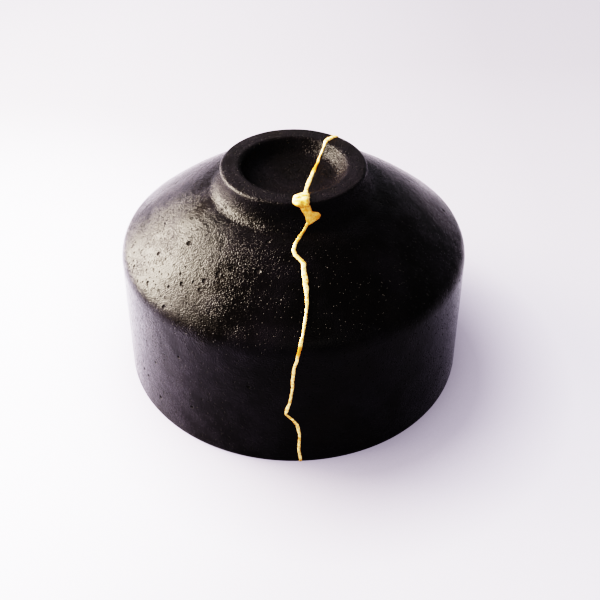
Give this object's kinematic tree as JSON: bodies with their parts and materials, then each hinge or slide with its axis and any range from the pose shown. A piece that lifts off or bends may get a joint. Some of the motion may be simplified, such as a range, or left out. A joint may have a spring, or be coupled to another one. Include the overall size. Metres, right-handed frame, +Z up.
{
  "type": "kintsugi bowl",
  "caption": "Tea bowl in black Raku-type glaze, broken in two and mended with a gold seam, standing upside down on its rim with its foot ring up.",
  "frame": {"origin": "centre of the rim, on the surface that the bowl stands on upside down", "axes": "+Z up through the foot, the bowl's turning axis; the break climbs the wall on the -Y side; +X is to the right of it"},
  "size_m": [0.1228, 0.123, 0.0783],
  "materials": {
    "black_glaze": "black Raku-type glaze, satin, finely pitted",
    "gold_lacquer": "gold dust on lacquer, satin, slightly raised"
  },
  "bodies": {
    "root": {"left_shard": "black_glaze", "right_shard": "black_glaze", "gold_seam": "gold_lacquer"}
  },
  "joints": []
}
